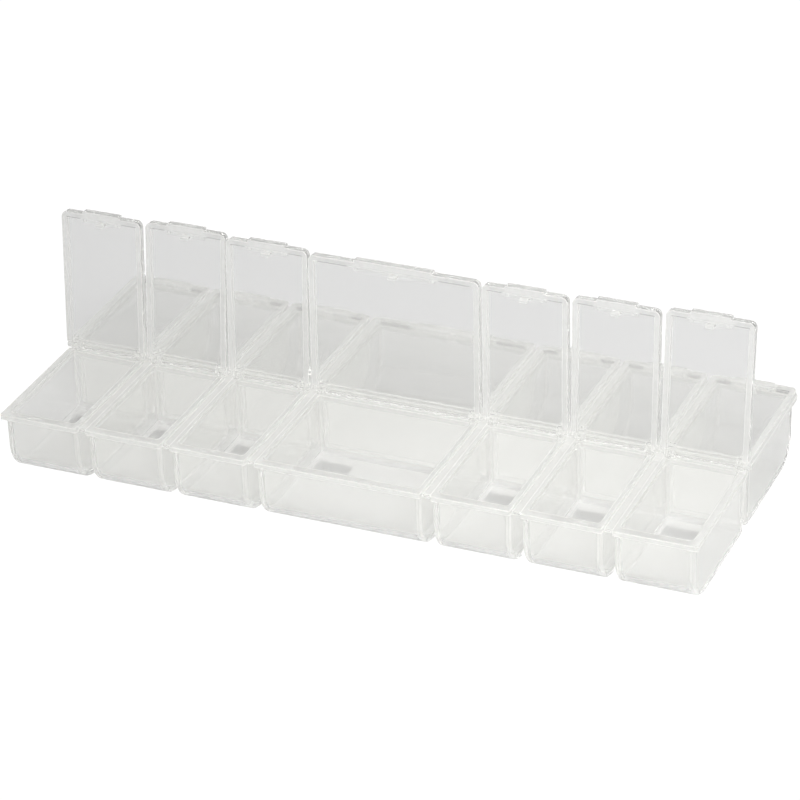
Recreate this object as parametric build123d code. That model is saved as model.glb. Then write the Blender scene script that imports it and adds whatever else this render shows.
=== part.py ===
from build123d import *
import os

# ---------------------------------------------------------------------------
# Travel pill organizer: one clear tray of fourteen tubs in two rows and
# fourteen flip lids on a double hinge line along the middle of the tray.
#
# Frame, in millimetres: origin at the centre of the tray's underside, +X along
# the length, +Y from the front row to the rear row, +Z up.
# The front lids are modelled standing open and the rear lids closed.
# ---------------------------------------------------------------------------

# Layout
PITCH = 26.0                         # one single-width compartment
COLUMNS = (1, 1, 1, 2, 1, 1, 1)      # compartment widths in pitches, left to right
LENGTH = PITCH * sum(COLUMNS)

# Tubs
RIM_Z = 20.0                         # rim plane above the table
TUB_GAP = 3.2                        # air between neighbouring tubs of a row
ROW_GAP = 3.0                        # air between the back walls of the two rows
TUB_DEPTH = 41.1                     # outside, front to back
WALL = 1.25
FLOOR = 1.25
SCOOP_R = 9.5                        # outside radius under the outer wall of every tub
HEEL_R = 1.5                         # outside radius under the inner wall
TUB_CORNER_R = 1.2                   # corners and bottom side edges, outside
POCKET_HEEL_R = 1.2                  # bottom edge at the inner wall, inside
POCKET_CORNER_R = 1.0                # corners and bottom side edges, inside

# Rim bead and the web that joins the tubs
BEAD_H = 1.5
BEAD_OUT = 1.4                       # beyond the outer wall of a tub
BEAD_SIDE = 0.2                      # beyond the side walls of a tub
BEAD_END = 0.95                      # beyond the end walls of the tray
BEAD_CORNER_R = 0.6
WEB_T = 1.1
WEB_DROP = 1.0                       # web top below the rim plane
WEB_SETBACK = 0.8                    # web edge behind the outer wall of the tubs

# Hinge
AXIS_Y = 1.2                         # hinge axes either side of the middle
AXIS_UP = 1.3                        # hinge axes above the rim plane
AXIS_Z = RIM_Z + AXIS_UP
PIN_R = 0.60
PIN_CLEARANCE = 0.05                 # radial, pin in post
POST_INSET = 1.4                     # post face from the edge of its lid
POST_W = 1.8
POST_R = 1.2
SNAP_SLOT_W = 0.8                    # the pins are pressed in from above
BARREL_R = 1.0
POST_SIDE_CLEARANCE = 0.2

# Lids
LID_GAP = 1.0                        # between neighbouring lids
LID_REACH = 42.1                     # hinge axis to free edge
LID_PLATE_T = 1.2
LID_BORDER_W = 1.6
LID_SEAT_CLEARANCE = 0.1             # border above the rim when closed
LID_CORNER_R = 1.8
BORDER_START = 1.3                   # border begins this far from the axis
NOTCH_REACH = 1.5                    # notch over a post, from the axis
TAB_SHARE = 0.46                     # thumb tab width, part of the lid width
TAB_OUT = 0.7
TAB_NUB = 0.9                        # little square stop at each end of the tab
CATCH_W = 2.4
CATCH_T = 0.8
CATCH_DROP = 0.9                     # below the rim plane when closed
CATCH_CLEARANCE = 0.35               # to the inside of the outer wall

# Pose at rest: opening angle of each front lid, from closed
FRONT_OPEN = (94.0, 96.0, 93.5, 91.5, 91.0, 92.5, 95.5)

# Derived
OUTER_Y = ROW_GAP / 2 + TUB_DEPTH    # outer wall face from the middle
BARREL_TOP = BARREL_R
PLATE_BOTTOM = BARREL_TOP - LID_PLATE_T
BORDER_BOTTOM = LID_SEAT_CLEARANCE - AXIS_UP
OVERLAP = 0.3                        # how deep joined volumes run into each other


def column_centres():
    """X of the middle of each column and its width in pitches."""
    x = -LENGTH / 2
    out = []
    for width in COLUMNS:
        out.append((x + width * PITCH / 2, width))
        x += width * PITCH
    return out


def side_profile(y_back, y_outer, z_bottom, z_top, scoop, heel):
    """Upright section of a front-row tub, rounded at the bottom: scoop outside, heel inside."""
    with BuildSketch(Plane.YZ) as section:
        with BuildLine():
            Polyline(
                (y_outer, z_bottom + scoop),
                (y_outer, z_top),
                (y_back, z_top),
                (y_back, z_bottom + heel),
            )
            RadiusArc((y_back, z_bottom + heel), (y_back - heel, z_bottom), heel)
            Line((y_back - heel, z_bottom), (y_outer + scoop, z_bottom))
            RadiusArc((y_outer + scoop, z_bottom), (y_outer, z_bottom + scoop), scoop)
        make_face()
    return section.sketch


def rounded_prism(section, width, radius):
    """The section spread evenly along X, its side edges rounded all the way round."""
    prism = extrude(section, amount=width / 2, both=True)
    return fillet(prism.edges().filter_by(Axis.Z), radius)


def tub_body(width):
    """Outside of one front-row tub, centred on X = 0."""
    section = side_profile(-ROW_GAP / 2, -OUTER_Y, 0, RIM_Z, SCOOP_R, HEEL_R)
    return rounded_prism(section, width, TUB_CORNER_R)


def tub_pocket(width):
    """Inside of one front-row tub, open upwards."""
    back = -ROW_GAP / 2 - WALL
    outer = -OUTER_Y + WALL
    top = RIM_Z + OVERLAP
    section = side_profile(back, outer, FLOOR, top, SCOOP_R - WALL, POCKET_HEEL_R)
    return rounded_prism(section, width - 2 * WALL, POCKET_CORNER_R)


def block(x0, x1, y0, y1, z0, z1):
    """Box between two corners."""
    middle = ((x0 + x1) / 2, (y0 + y1) / 2, (z0 + z1) / 2)
    return Pos(*middle) * Box(x1 - x0, y1 - y0, z1 - z0)


def rim_bead(width, left_extra, right_extra):
    """Band around the mouth of one front-row tub."""
    x0 = -width / 2 - BEAD_SIDE - left_extra
    x1 = width / 2 + BEAD_SIDE + right_extra
    bead = block(x0, x1, -OUTER_Y - BEAD_OUT, -ROW_GAP / 2, RIM_Z - BEAD_H, RIM_Z)
    outer_corners = bead.edges().filter_by(Axis.Z).group_by(Axis.Y)[0]
    return fillet(outer_corners, BEAD_CORNER_R)


def hinge_post():
    """Post with one pin hole for each row, centred on X = 0 and Y = 0."""
    foot = RIM_Z - WEB_DROP - OVERLAP
    post = block(-POST_W / 2, POST_W / 2, -AXIS_Y - POST_R, AXIS_Y + POST_R, foot, AXIS_Z)
    crown = block(-POST_W / 2, POST_W / 2, -AXIS_Y, AXIS_Y, foot, AXIS_Z + POST_R)
    along_x = Rot(0, 90, 0)
    for side in (-1, 1):
        shoulder = Pos(0, side * AXIS_Y, AXIS_Z) * along_x * Cylinder(POST_R, POST_W)
        crown = crown + shoulder
    post = post + crown
    for side in (-1, 1):
        y = side * AXIS_Y
        bore = Pos(0, y, AXIS_Z) * along_x * Cylinder(PIN_R + PIN_CLEARANCE, POST_W + 1)
        slot = block(
            -POST_W, POST_W, y - SNAP_SLOT_W / 2, y + SNAP_SLOT_W / 2, AXIS_Z, AXIS_Z + 2 * POST_R
        )
        post = post - bore - slot
    return post


def make_tray():
    """The whole tray in one moulding."""
    web_top = RIM_Z - WEB_DROP
    end_x = LENGTH / 2 - TUB_GAP / 2
    web_y = OUTER_Y - WEB_SETBACK
    solid = block(-end_x + WALL, end_x - WALL, -web_y, web_y, web_top - WEB_T, web_top)
    pockets = []
    posts = []
    last = len(COLUMNS) - 1
    for index, (x, pitches) in enumerate(column_centres()):
        width = pitches * PITCH - TUB_GAP
        end_extra = BEAD_END - BEAD_SIDE
        bead = rim_bead(
            width, end_extra if index == 0 else 0.0, end_extra if index == last else 0.0
        )
        tub = Pos(x, 0, 0) * (tub_body(width) + bead)
        pocket = Pos(x, 0, 0) * tub_pocket(width)
        solid = solid + tub + mirror(tub, Plane.XZ)
        pockets += [pocket, mirror(pocket, Plane.XZ)]
        post_x = (pitches * PITCH - LID_GAP) / 2 - POST_INSET - POST_W / 2
        posts += [Pos(x + side * post_x, 0, 0) * hinge_post() for side in (-1, 1)]
    for post in posts:
        solid = solid + post
    for pocket in pockets:
        solid = solid - pocket
    return solid


def make_lid(pitches):
    """One closed front-row lid with its hinge axis on the X axis, reaching towards -Y."""
    width = pitches * PITCH - LID_GAP
    half = width / 2
    plate = block(-half, half, -LID_REACH, 0, PLATE_BOTTOM, BARREL_TOP)
    border = block(-half, half, -LID_REACH, -BORDER_START, BORDER_BOTTOM, PLATE_BOTTOM)
    inside = block(
        -half + LID_BORDER_W,
        half - LID_BORDER_W,
        -LID_REACH + LID_BORDER_W,
        0,
        BORDER_BOTTOM - 1,
        PLATE_BOTTOM,
    )
    shell = plate + (border - inside)
    free_corners = shell.edges().filter_by(Axis.Z).group_by(Axis.Y)[0]
    shell = fillet(free_corners, LID_CORNER_R)

    tab = TAB_SHARE * width / 2
    thumb = block(-tab, tab, -LID_REACH - TAB_OUT, -LID_REACH + OVERLAP, BORDER_BOTTOM, BARREL_TOP)
    thumb = fillet(thumb.edges().filter_by(Axis.Z).group_by(Axis.Y)[0], TAB_OUT / 2)
    shell = shell + thumb
    for side in (-1, 1):
        nub_x = side * (tab - TAB_NUB / 2)
        nub_y = -LID_REACH + LID_BORDER_W
        nub = block(
            nub_x - TAB_NUB / 2,
            nub_x + TAB_NUB / 2,
            nub_y - OVERLAP,
            nub_y + TAB_NUB,
            BORDER_BOTTOM,
            PLATE_BOTTOM,
        )
        shell = shell + nub

    catch_y = -(OUTER_Y - WALL - CATCH_CLEARANCE) + AXIS_Y
    catch = block(
        -CATCH_W / 2,
        CATCH_W / 2,
        catch_y,
        catch_y + CATCH_T,
        -AXIS_UP - CATCH_DROP,
        PLATE_BOTTOM + OVERLAP,
    )
    shell = shell + catch

    along_x = Rot(0, 90, 0)
    shell = shell + along_x * Cylinder(BARREL_R, width)
    notch_in = POST_INSET - POST_SIDE_CLEARANCE
    notch_out = POST_INSET + POST_W + POST_SIDE_CLEARANCE
    for side in (-1, 1):
        near, far = sorted((side * (half - notch_in), side * (half - notch_out)))
        notch = block(near, far, -NOTCH_REACH, BARREL_R + 1, BORDER_BOTTOM - 1, BARREL_TOP + 1)
        shell = shell - notch
    return shell + along_x * Cylinder(PIN_R, width)


def main():
    os.makedirs("parts", exist_ok=True)
    export_step(make_tray(), "parts/tray.step")
    shapes = {pitches: make_lid(pitches) for pitches in set(COLUMNS)}
    for number, (x, pitches) in enumerate(column_centres(), start=1):
        lid = shapes[pitches]
        front = Pos(x, -AXIS_Y, AXIS_Z) * Rot(-FRONT_OPEN[number - 1], 0, 0) * lid
        rear = Pos(x, AXIS_Y, AXIS_Z) * Rot(0, 0, 180) * lid
        export_step(front, f"parts/front_lid_{number}.step")
        export_step(rear, f"parts/rear_lid_{number}.step")


main()
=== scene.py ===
"""Travel pill organizer: looks, floor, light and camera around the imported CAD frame."""

import bpy
from mathutils import Matrix, Vector


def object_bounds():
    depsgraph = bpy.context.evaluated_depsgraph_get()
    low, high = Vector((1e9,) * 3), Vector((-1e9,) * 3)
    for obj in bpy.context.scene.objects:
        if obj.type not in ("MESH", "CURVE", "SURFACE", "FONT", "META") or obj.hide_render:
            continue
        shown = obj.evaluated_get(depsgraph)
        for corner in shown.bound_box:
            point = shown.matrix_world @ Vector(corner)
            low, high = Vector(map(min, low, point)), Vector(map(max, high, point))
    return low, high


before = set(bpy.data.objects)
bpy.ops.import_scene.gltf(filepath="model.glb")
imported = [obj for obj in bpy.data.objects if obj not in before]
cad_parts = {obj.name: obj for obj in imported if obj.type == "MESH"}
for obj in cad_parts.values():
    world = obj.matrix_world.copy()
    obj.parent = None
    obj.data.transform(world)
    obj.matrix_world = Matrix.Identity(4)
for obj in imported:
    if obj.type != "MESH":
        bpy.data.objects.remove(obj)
cad_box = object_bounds()
scene = bpy.context.scene

# Camera, in metres, with its lens and sensor in millimetres
CAMERA_AT = Vector((0.3504, -0.7992, 0.5066))
CAMERA_RIGHT = Vector((0.9216, 0.3872, -0.0268))
CAMERA_UP = Vector((-0.1667, 0.4573, 0.8736))
LENS_MM = 159.795
SENSOR_MM = 36.0
NEAREST = 0.01

# Plastic body. A pair is a value at the low and the high end of what drives it.
PLASTIC_IOR = 1.49
SHADOW_CLEAR = (0.76, 0.76, 0.758, 1.0)   # light a wall lets through to what it shades
BROAD_NOISE = (60.0, 2.0)                 # scale and detail: uneven polish
FINE_NOISE = (900.0, 3.0)                 # uneven milk
GRAIN_NOISE = (2600.0, 1.0)               # satin grain
NOISE_ROUGHNESS = 0.5
NOISE_RANGE = (0.3, 0.7)
POLISH_SPREAD = (0.7, 1.4)
MILK_SPREAD = (0.92, 1.08)
MILK_THROUGH = 0.5                        # part of the milk's light that goes on through
GRAIN_STRENGTH = 0.2
GRAIN_DEPTH = 0.00002
TRAY_LOOK = {
    "tint": (0.996, 0.997, 0.992),
    "milk": 0.10,
    "milk_colour": (0.975, 0.975, 0.95, 1.0),
    "polish": 0.07,
    # painted glow share at thick places, an emission
    "thick_glow": 0.18,
}
LID_LOOK = {
    "tint": (0.99, 0.99, 0.986),
    "milk": 0.05,
    "milk_colour": (0.975, 0.975, 0.96, 1.0),
    "polish": 0.04,
    # painted glow share at thick places, an emission
    "thick_glow": 0.16,
}

# Edges, thick places and curves
EDGE_RADIUS = 0.0006
EDGE_SAMPLES = 4
EDGE_LEAN = (0.7, 0.99)
EDGE_MILK = 0.55
# Painted glow share at edges, an emission
EDGE_GLOW = 0.38
THICK_MILK = 0.25
CORNER_TURN = (0.02, 0.16)
SCOOP_TURN = (0.01, 0.12)
SCOOP_CLEAR = 0.8

# Painted glow, an emission that stands in for light carried inside the plastic: from which ray
# depth it shows, its colour, and its strength from left to right and from front to back
GLOW_DEPTH = (7.0, 13.0)
GLOW_COLOUR = (1.0, 1.0, 0.975, 1.0)
GLOW_ALONG = (0.76, 1.0)
GLOW_ACROSS = (1.05, 0.86)
GLOW_FULL = 0.3                           # full from this part of the right half on

# Tray, in metres
MASK_SOFT = 0.0002
RIM_FROM = 0.0184
RIM_TO = 0.0201
# Painted glow shares, emission on the tray's faces: a base share, more on level floors near the
# middle, most on the middle walls
TRAY_GLOW = 0.06
LEVEL_FACING = (0.9, 0.99)
LEVEL_GLOW = 0.10
LEVEL_TO = 0.0125
LEVEL_SOFT = 0.002
MIDDLE_GLOW = 0.13
MIDDLE_TO = 0.0034
PITCH = 0.026
# Painted shade: a darker patch on each front tub's floor, without milk or painted glow
SHADE_PATCH_X = (0.0040, 0.0144)
SHADE_PATCH_Y = (-0.0113, -0.0065)
SHADE_PATCH_SOFT = 0.0004
SHADE_PATCH_TINT = 0.93

# Lids: places along X and from the hinge outwards are parts of the lid's own size
LID_BORDER = 0.0016                       # metres
BORDER_SOFT = 1.05
FREE_EDGE = (0.946, 0.948)
STOP_REACH = (0.909, 0.912)
STOP_OFF = (0.235, 0.24)
STOP_MILK = 0.5
CATCH_REACH = (0.906, 0.909)
CATCH_END = (0.935, 0.938)
CATCH_HALF = 0.7
CATCH_MILK = 1.5
# Painted glow share on the lid's faces, an emission
LID_GLOW = 0.02
# Painted shadow line beside each end of a lid's tab: a darker tint with no milk or painted glow
SHADOW_LINE_REACH = (0.9452, 0.9502)
SHADOW_LINE_REACH_SOFT = 0.001
SHADOW_LINE_OFF = (0.27, 0.44)
SHADOW_LINE_OFF_SOFT = 0.01
SHADOW_LINE_TINT = 0.5

# Floor, backdrop and light
FLOOR_SIZE = 6.0
FLOOR_DROP = 0.00005
PAPER = (0.86, 0.86, 0.86, 1.0)
FLOOR_WHITE = 1.05
BACKDROP_WHITE = 1.35
SKY_ACROSS = (0.6, 0.5)
SKY_ACROSS_RANGE = (-0.6, 0.6)
SKY_UP = (0.0, 0.15)
SKY_UP_RANGE = (0.2, 1.0)
LAMPS = (                                 # name, place, aim, size, watts
    ("key_soft", (0.30, -0.34, 0.42), (0.04, 0, 0), (0.35, 0.35), 1.6),
    ("top_soft", (-0.1, 0.35, 0.9), (0, 0.05, 0), (0.9, 0.5), 1.7),
)
LIGHT_PATHS = {
    "max_bounces": 32,
    "transmission_bounces": 28,
    "transparent_max_bounces": 64,
    "diffuse_bounces": 4,
    "glossy_bounces": 32,
    "sample_clamp_indirect": 6.0,
}


def new_material(name):
    """An empty material and its node tree."""
    material = bpy.data.materials.new(name)
    material.use_nodes = True
    material.node_tree.nodes.clear()
    return material, material.node_tree


def feed(tree, value, socket):
    """Wires a socket to the output that gives its value, or gives it a fixed value."""
    if isinstance(value, bpy.types.NodeSocket):
        tree.links.new(value, socket)
    else:
        socket.default_value = value


def add(tree, kind, settings=None, **named):
    """A new node, its inputs and settings given by name."""
    node = tree.nodes.new(kind)
    for key, value in {**(settings or {}), **named}.items():
        if key in node.inputs:
            feed(tree, value, node.inputs[key])
        else:
            setattr(node, key, value)
    return node


def mix(tree, share, first, second):
    """Two shaders mixed: the first at share 0, the second at 1."""
    node = tree.nodes.new("ShaderNodeMixShader")
    feed(tree, share, node.inputs[0])
    feed(tree, first.outputs[0], node.inputs[1])
    feed(tree, second.outputs[0], node.inputs[2])
    return node


def maths(tree, operation, a, b=None):
    """One sum on numbers or outputs."""
    node = tree.nodes.new("ShaderNodeMath")
    node.operation = operation
    feed(tree, a, node.inputs[0])
    if b is not None:
        feed(tree, b, node.inputs[1])
    return node.outputs[0]


def product(tree, *values):
    """All the values multiplied."""
    result = values[0]
    for value in values[1:]:
        result = maths(tree, "MULTIPLY", result, value)
    return result


def largest(tree, *values):
    """The largest of the values."""
    result = values[0]
    for value in values[1:]:
        result = maths(tree, "MAXIMUM", result, value)
    return result


def axes(tree, kind, output):
    """X, Y and Z of a vector that a node of this kind gives."""
    vector = tree.nodes.new(kind).outputs[output]
    return add(tree, "ShaderNodeSeparateXYZ", Vector=vector).outputs


def noise(tree, coords, scale, detail):
    """Soft noise around one half."""
    settings = {"Scale": scale, "Detail": detail, "Roughness": NOISE_ROUGHNESS, "Vector": coords}
    return add(tree, "ShaderNodeTexNoise", settings).outputs["Fac"]


def remap(tree, value, result, source):
    """The value carried from the source range to the result range, and kept inside it."""
    settings = {
        "From Min": source[0],
        "From Max": source[1],
        "To Min": result[0],
        "To Max": result[1],
        "Value": value,
    }
    return add(tree, "ShaderNodeMapRange", settings).outputs["Result"]


def above(tree, value, low, high):
    """0 below low, 1 above high."""
    return remap(tree, value, (0.0, 1.0), (low, high))


def below(tree, value, low, high, most=1.0):
    """Most below low, 0 above high."""
    return remap(tree, value, (most, 0.0), (low, high))


def within(tree, value, low, high, soft):
    """1 between low and high, 0 outside."""
    rise = above(tree, value, low - soft, low)
    return product(tree, rise, below(tree, value, high, high + soft))


def opposite(tree, value):
    """What is left of 1."""
    return maths(tree, "SUBTRACT", 1.0, value)


def turning(tree, part, limits):
    """Places where the square of one part of the normal is neither 0 nor 1."""
    square = product(tree, part, part)
    return above(tree, product(tree, square, opposite(tree, square)), *limits)


def rim_mask(tree):
    """The thick rim of the tray, from the bead up to the foot of the hinge posts."""
    height = axes(tree, "ShaderNodeNewGeometry", "Position")["Z"]
    height = maths(tree, "SUBTRACT", height, cad_box[0][2])
    rim = above(tree, height, RIM_FROM, RIM_FROM + MASK_SOFT)
    return product(tree, rim, below(tree, height, RIM_TO, RIM_TO + MASK_SOFT))


def shade_patch_mask(tree, place):
    """Painted shade: a patch on the floor of every front tub, near its left wall, tinted darker
    and without milk or painted glow.
    """
    local = maths(tree, "FLOORED_MODULO", place["X"], PITCH)
    shade_patch = within(tree, local, *SHADE_PATCH_X, SHADE_PATCH_SOFT)
    shade_patch = product(tree, shade_patch, within(tree, place["Y"], *SHADE_PATCH_Y, SHADE_PATCH_SOFT))
    # The wide tub spans two pitches and has a shade patch in its left half only
    right_half = within(tree, place["X"], 0.0, PITCH, SHADE_PATCH_SOFT)
    return product(tree, shade_patch, opposite(tree, right_half))


def tray_faces(tree):
    """Where the tray's faces are outside the painted shade and keep their milk, their share of
    painted glow, and the darker tint of the painted shade.

    The painted glow, an emission, is strongest on the walls along the middle, then on the floors
    next to them.
    The painted shade patches have neither milk nor painted glow.
    """
    place = axes(tree, "ShaderNodeNewGeometry", "Position")
    depth = maths(tree, "ABSOLUTE", place["Y"])
    middle = below(tree, depth, MIDDLE_TO, MIDDLE_TO + MASK_SOFT, MIDDLE_GLOW)
    facing = axes(tree, "ShaderNodeTexCoord", "Normal")["Z"]
    level = above(tree, maths(tree, "ABSOLUTE", facing), *LEVEL_FACING)
    outside_painted_shade = opposite(tree, product(tree, level, shade_patch_mask(tree, place)))
    inner = below(tree, depth, LEVEL_TO, LEVEL_TO + LEVEL_SOFT, LEVEL_GLOW)
    painted_glow_share = maths(tree, "ADD", middle, product(tree, level, inner))
    return outside_painted_shade, maths(tree, "ADD", painted_glow_share, TRAY_GLOW), SHADE_PATCH_TINT


def lid_place(tree, along):
    """Distance from the lid's middle line, and reach from its hinge, as parts of its size."""
    place = axes(tree, "ShaderNodeTexCoord", "Generated")
    off = maths(tree, "ABSOLUTE", maths(tree, "SUBTRACT", place["X"], 0.5))
    return off, place[along]


def lid_faces(tree, along):
    """As tray_faces, for a lid: a painted shadow line, darker and without milk or painted glow,
    runs beside each end of its tab.
    """
    off, reach = lid_place(tree, along)
    shadow_line = within(tree, reach, *SHADOW_LINE_REACH, SHADOW_LINE_REACH_SOFT)
    shadow_line = product(tree, shadow_line, within(tree, off, *SHADOW_LINE_OFF, SHADOW_LINE_OFF_SOFT))
    return opposite(tree, shadow_line), LID_GLOW, SHADOW_LINE_TINT


def border_mask(tree, share, along):
    """The raised border of a lid, the stops at the ends of its tab, and its catch."""
    off, reach = lid_place(tree, along)
    sides = above(tree, off, 0.5 - share * BORDER_SOFT, 0.5 - share)
    free_edge = above(tree, reach, *FREE_EDGE)
    stops = product(tree, above(tree, reach, *STOP_REACH), below(tree, off, *STOP_OFF, STOP_MILK))
    half = share * CATCH_HALF
    catch = product(
        tree,
        above(tree, reach, *CATCH_REACH),
        below(tree, reach, *CATCH_END),
        below(tree, off, half, half * BORDER_SOFT, CATCH_MILK),
    )
    return largest(tree, sides, free_edge, stops, catch)


def glow_strength(tree):
    """The painted glow, an emission standing in for light carried in the plastic, is stronger
    towards the key light, on the right.
    """
    place = axes(tree, "ShaderNodeNewGeometry", "Position")
    low, high = cad_box
    along = remap(tree, place["X"], GLOW_ALONG, (low[0], GLOW_FULL * high[0]))
    across = remap(tree, place["Y"], GLOW_ACROSS, (low[1], high[1]))
    return product(tree, along, across)


def edge_mask(tree):
    """Edges: how far the rounded normal leans away from the face's own."""
    rounded = add(tree, "ShaderNodeBevel", samples=EDGE_SAMPLES, Radius=EDGE_RADIUS)
    lean = tree.nodes.new("ShaderNodeVectorMath")
    lean.operation = "DOT_PRODUCT"
    feed(tree, rounded.outputs[0], lean.inputs[0])
    flat = tree.nodes.new("ShaderNodeNewGeometry").outputs["True Normal"]
    feed(tree, flat, lean.inputs[1])
    return below(tree, lean.outputs["Value"], *EDGE_LEAN)


def scaled(tree, colour, scale):
    """A colour darkened by a scale that varies over the surface."""
    node = tree.nodes.new("ShaderNodeVectorMath")
    node.operation = "SCALE"
    node.inputs[0].default_value = colour
    feed(tree, scale, node.inputs["Scale"])
    return node.outputs[0]


def clear_plastic(name, look, thick_mask, faces):
    """Moulded clear plastic: it refracts, is milky towards its edges, and has a little painted
    glow, an emission, on long paths, edges, thick places and faces.
    """
    material, tree = new_material(name)
    coords = tree.nodes.new("ShaderNodeTexCoord").outputs["Object"]
    polish = [look["polish"] * part for part in POLISH_SPREAD]
    grain = add(
        tree,
        "ShaderNodeBump",
        Strength=GRAIN_STRENGTH,
        Distance=GRAIN_DEPTH,
        Height=noise(tree, coords, *GRAIN_NOISE),
    )
    normal = axes(tree, "ShaderNodeTexCoord", "Normal")
    outside_painted_shade, face_glow, painted_shade_tint = faces(tree)
    # The base colour is the tint, darkened where shade is painted: the floor patches and the
    # lids' shadow lines
    body = add(tree, "ShaderNodeBsdfPrincipled", {
        "Base Color": scaled(tree, look["tint"], remap(tree, outside_painted_shade, (painted_shade_tint, 1.0), (0.0, 1.0))),
        "IOR": PLASTIC_IOR,
        "Transmission Weight": 1.0,
        "Roughness": remap(tree, noise(tree, coords, *BROAD_NOISE), polish, NOISE_RANGE),
        "Normal": grain.outputs[0],
    })
    milk_front = add(tree, "ShaderNodeBsdfDiffuse", Color=look["milk_colour"])
    milk_through = add(tree, "ShaderNodeBsdfTranslucent", Color=look["milk_colour"])
    milk = mix(tree, MILK_THROUGH, milk_front, milk_through)

    # Where the milk is: everywhere a little, more at edges and thick places, less on the scoop
    edge = edge_mask(tree)
    thick = largest(tree, thick_mask(tree), turning(tree, normal["X"], CORNER_TURN))
    scoop = turning(tree, normal["Z"], SCOOP_TURN)
    satin = remap(tree, scoop, (1.0, 1.0 - SCOOP_CLEAR), (0.0, 1.0))
    share = remap(tree, edge, (look["milk"], look["milk"] + EDGE_MILK), (0.0, 1.0))
    share = maths(tree, "ADD", share, product(tree, thick, THICK_MILK))
    share = product(tree, share, largest(tree, satin, edge), outside_painted_shade)
    uneven = remap(tree, noise(tree, coords, *FINE_NOISE), MILK_SPREAD, NOISE_RANGE)
    plastic = mix(tree, product(tree, share, uneven), body, milk)

    # Painted glow, an emission standing in for light caught inside a wall that comes out of its
    # edges: a long path ends in a pale glow, and edges, thick places and faces get a share of it
    rays = tree.nodes.new("ShaderNodeLightPath").outputs
    glow = add(tree, "ShaderNodeEmission", Color=GLOW_COLOUR, Strength=glow_strength(tree))
    deep_ray_glow = above(tree, rays["Ray Depth"], *GLOW_DEPTH)
    painted_glow_share = largest(
        tree,
        product(tree, edge, EDGE_GLOW),
        product(tree, thick, look["thick_glow"]),
        product(tree, satin, face_glow),
    )
    with_painted_glow = mix(tree, largest(tree, deep_ray_glow, product(tree, painted_glow_share, outside_painted_shade)), plastic, glow)
    clear = add(tree, "ShaderNodeBsdfTransparent", Color=SHADOW_CLEAR)
    final = mix(tree, rays["Is Shadow Ray"], with_painted_glow, clear)
    add(tree, "ShaderNodeOutputMaterial", Surface=final.outputs[0])
    return material


def dress(node, material):
    """Puts a material into every slot of a CAD node."""
    if not node.material_slots:
        node.data.materials.append(material)
    for slot in node.material_slots:
        slot.material = material


def dress_all():
    """One plastic for the tray, and one for each width and standing of the lids."""
    lid_plastics = {}
    for name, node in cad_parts.items():
        if name == "tray":
            dress(node, clear_plastic("tray_plastic", TRAY_LOOK, rim_mask, tray_faces))
            continue
        share = round(LID_BORDER / node.dimensions.x, 3)
        along = "Z" if node.dimensions.z > node.dimensions.y else "Y"
        if (share, along) not in lid_plastics:
            lid_plastics[share, along] = clear_plastic(
                f"lid_plastic_{len(lid_plastics) + 1}",
                LID_LOOK,
                lambda tree: border_mask(tree, share, along),
                lambda tree: lid_faces(tree, along),
            )
        dress(node, lid_plastics[share, along])


def make_floor():
    """Paper: blown out to white seen straight on, lit paper seen through the plastic."""
    mesh = bpy.data.meshes.new("floor")
    h = FLOOR_SIZE / 2
    mesh.from_pydata([(-h, -h, 0), (h, -h, 0), (h, h, 0), (-h, h, 0)], [], [(0, 1, 2, 3)])
    floor = bpy.data.objects.new("floor", mesh)
    floor.location.z = cad_box[0][2] - FLOOR_DROP
    scene.collection.objects.link(floor)
    material, tree = new_material("floor_paper")
    paper = add(tree, "ShaderNodeBsdfDiffuse", Color=PAPER)
    white = add(tree, "ShaderNodeEmission", Strength=FLOOR_WHITE)
    straight = tree.nodes.new("ShaderNodeLightPath").outputs["Is Camera Ray"]
    shader = mix(tree, straight, paper, white)
    add(tree, "ShaderNodeOutputMaterial", Surface=shader.outputs[0])
    mesh.materials.append(material)


def make_world():
    """Soft sky, brighter upwards; straight on it is white too, so no horizon shows."""
    world = bpy.data.worlds.new("studio")
    scene.world = world
    world.use_nodes = True
    tree = world.node_tree
    tree.nodes.clear()
    towards = axes(tree, "ShaderNodeTexCoord", "Generated")
    across = remap(tree, towards["Y"], SKY_ACROSS, SKY_ACROSS_RANGE)
    upwards = remap(tree, towards["Z"], SKY_UP, SKY_UP_RANGE)
    straight = tree.nodes.new("ShaderNodeLightPath").outputs["Is Camera Ray"]
    white = product(tree, straight, BACKDROP_WHITE)
    level = largest(tree, maths(tree, "ADD", across, upwards), white)
    sky = add(tree, "ShaderNodeBackground", Strength=level)
    add(tree, "ShaderNodeOutputWorld", Surface=sky.outputs[0])


def area_light(name, place, aim, size, watts):
    """A rectangular soft light."""
    light = bpy.data.lights.new(name, "AREA")
    light.shape = "RECTANGLE"
    light.size, light.size_y = size
    light.energy = watts
    lamp = bpy.data.objects.new(name, light)
    lamp.location = place
    direction = Vector(aim) - Vector(place)
    lamp.rotation_euler = direction.to_track_quat("-Z", "Y").to_euler()
    scene.collection.objects.link(lamp)


def make_camera():
    """The camera, with its axes made square to each other."""
    camera = bpy.data.objects.new("camera", bpy.data.cameras.new("camera"))
    back = CAMERA_RIGHT.cross(CAMERA_UP).normalized()
    right = CAMERA_UP.cross(back).normalized()
    up = back.cross(right)
    rows = Matrix((right, up, back)).transposed().to_4x4()
    rows.translation = CAMERA_AT
    camera.matrix_world = rows
    camera.data.sensor_width = SENSOR_MM
    camera.data.lens = LENS_MM
    camera.data.clip_start = NEAREST
    scene.collection.objects.link(camera)
    scene.camera = camera


dress_all()
make_floor()
make_world()
for lamp_values in LAMPS:
    area_light(*lamp_values)
make_camera()

scene.view_settings.view_transform = "Standard"
for setting, amount in LIGHT_PATHS.items():
    setattr(scene.cycles, setting, amount)
